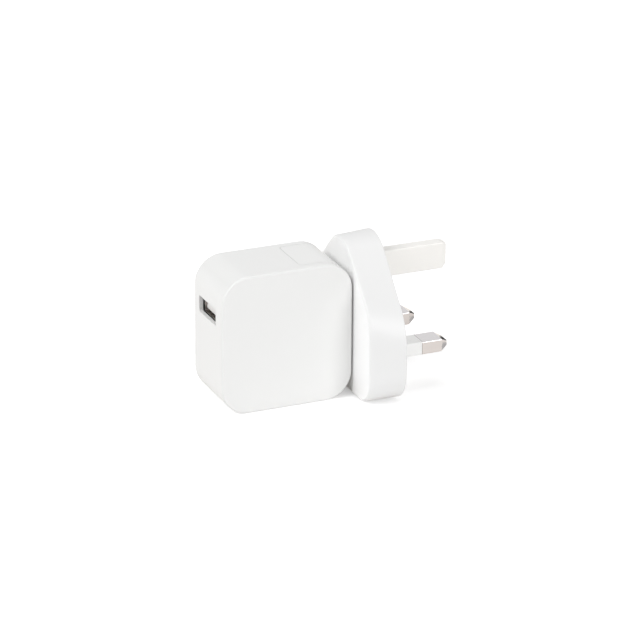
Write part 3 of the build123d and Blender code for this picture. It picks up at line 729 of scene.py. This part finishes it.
def dress_nodes():
    """Gives every CAD node the finish of its material slot."""
    finishes = {
        "case_white": case_white(),
        "head_white": head_white(),
        "earth_white": earth_white(),
        "sleeve_white": sleeve_white(),
        "pin_nickel": pin_nickel(),
        "contact_brass": contact_brass(),
        "contact_gold": contact_gold(),
        "stud_steel": stud_steel(),
        "usb_steel": usb_steel(),
        "usb_white": usb_white(),
        "inlet_grey": inlet_grey(),
        "board": board_green(),
        "ferrite": ferrite_grey(),
        "bobbin": bobbin_black(),
        "tape": winding_tape(),
        "can": can_aluminium(),
        "chip": chip_black(),
        "disc": disc_blue(),
    }
    for piece in nodes.values():
        for slot in piece.material_slots:
            slot.material = finishes[slot.material.name]


# Studio


def seen_rays(tree):
    """1 for camera, glossy and transmission rays, which see the white surround, and 0 for others."""
    path = node(tree, "ShaderNodeLightPath").outputs
    seen = math_node(tree, "MAXIMUM", path["Is Camera Ray"], path["Is Glossy Ray"])
    return math_node(tree, "MAXIMUM", seen, path["Is Transmission Ray"])


def make_world():
    """Even white surround, brighter to the eye than as a light."""
    world = bpy.data.worlds.new("white surround")
    bpy.context.scene.world = world
    world.use_nodes = True
    tree = world.node_tree
    tree.nodes.clear()
    extra = backdrop_level - ambient_level
    level = math_node(tree, "MULTIPLY_ADD", seen_rays(tree), extra, ambient_level)
    surround = node(tree, "ShaderNodeBackground", {"Color": (*white_light, 1.0), "Strength": level})
    output = tree.nodes.new("ShaderNodeOutputWorld")
    tree.links.new(surround.outputs["Background"], output.inputs["Surface"])


def dull_card(name, colour):
    """Dull paper or card of one colour, as its material, tree and shader."""
    material, tree, shader = new_finish(name)
    shader.inputs["Base Color"].default_value = colour
    shader.inputs["Roughness"].default_value = 1.0
    shader.inputs["Specular IOR Level"].default_value = 0.0
    return material, tree, shader


def floor_paper():
    """White paper floor that keeps shadows, lifted to white for the eye and open from below."""
    material, tree, shader = dull_card("white paper", floor_white)
    glossy = node(tree, "ShaderNodeLightPath").outputs["Is Glossy Ray"]
    bounce = mix_colour(tree, glossy, (*white_light, 1.0), (*warm_bounce, 1.0))
    tree.links.new(bounce, shader.inputs["Emission Color"])
    lift = math_node(tree, "MULTIPLY", seen_rays(tree), floor_lift)
    tree.links.new(lift, shader.inputs["Emission Strength"])
    clear = tree.nodes.new("ShaderNodeBsdfTransparent")
    back = node(tree, "ShaderNodeNewGeometry").outputs["Backfacing"]
    mixed = node(
        tree,
        "ShaderNodeMixShader",
        {0: back, 1: shader.outputs["BSDF"], 2: clear.outputs["BSDF"]},
    )
    output = next(n for n in tree.nodes if n.type == "OUTPUT_MATERIAL")
    tree.links.new(mixed.outputs["Shader"], output.inputs["Surface"])
    return material


def add_mesh(name, corners, faces, material):
    """A plain mesh object of the studio."""
    mesh = bpy.data.meshes.new(name)
    mesh.from_pydata(corners, [], faces)
    mesh.materials.append(material)
    made = bpy.data.objects.new(name, mesh)
    bpy.context.scene.collection.objects.link(made)
    return made


def make_floor():
    """Level floor under the case."""
    square = [(-1, -1), (1, -1), (1, 1), (-1, 1)]
    corners = [(x * floor_half, y * floor_half, floor_height) for x, y in square]
    floor = add_mesh("floor", corners, [(0, 1, 2, 3)], floor_paper())


def softbox(name, place, aim, width, height, power):
    """Rectangular soft light at a place, turned to an aim."""
    lamp = bpy.data.lights.new(name, "AREA")
    lamp.shape = "RECTANGLE"
    lamp.size = width
    lamp.size_y = height
    lamp.energy = power
    lamp.color = white_light
    holder = bpy.data.objects.new(name, lamp)
    holder.location = place
    holder.rotation_euler = (Vector(aim) - Vector(place)).to_track_quat("-Z", "Y").to_euler()
    bpy.context.scene.collection.objects.link(holder)


def make_lights():
    """Soft light from the left, the front and above, as in a light tent."""
    aim = (cad_box[0] + cad_box[1]) / 2
    for name, (place, width, height, power) in softboxes.items():
        softbox(name, place, aim, width, height, power)


def make_flags():
    """Black and grey cards around the pins, seen in their polished metal and nowhere else."""
    faces = [(0, 1, 3, 2), (4, 6, 7, 5), (0, 4, 5, 1), (2, 3, 7, 6), (0, 2, 6, 4), (1, 5, 7, 3)]
    for name, (low, high, level) in flags.items():
        corners = [
            (x, y, floor_height + z)
            for x in (low[0], high[0])
            for y in (low[1], high[1])
            for z in (low[2], high[2])
        ]
        card = dull_card(name, (level, level, level, 1.0))[0]
        flag = add_mesh(name, corners, faces, card)
        flag.visible_camera = False
        flag.visible_diffuse = False
        flag.visible_shadow = False
        flag.visible_transmission = False


def make_camera():
    """Camera at the photograph's angle, distance and framing."""
    lens = bpy.data.cameras.new("photo camera")
    lens.lens = camera_lens
    lens.sensor_width = camera_sensor
    camera = bpy.data.objects.new("photo camera", lens)
    bpy.context.scene.collection.objects.link(camera)
    level = math.cos(camera_elevation)
    back = Vector(
        (
            math.sin(camera_azimuth) * level,
            -math.cos(camera_azimuth) * level,
            math.sin(camera_elevation),
        )
    )
    camera.location = camera_aim + back * camera_distance
    camera.rotation_mode = "QUATERNION"
    roll = Quaternion((0.0, 0.0, 1.0), camera_roll)
    camera.rotation_quaternion = (-back).to_track_quat("-Z", "Y") @ roll
    bpy.context.scene.camera = camera


dress_nodes()
make_world()
make_floor()
make_lights()
make_flags()
make_camera()
bpy.context.scene.view_settings.view_transform = "Standard"
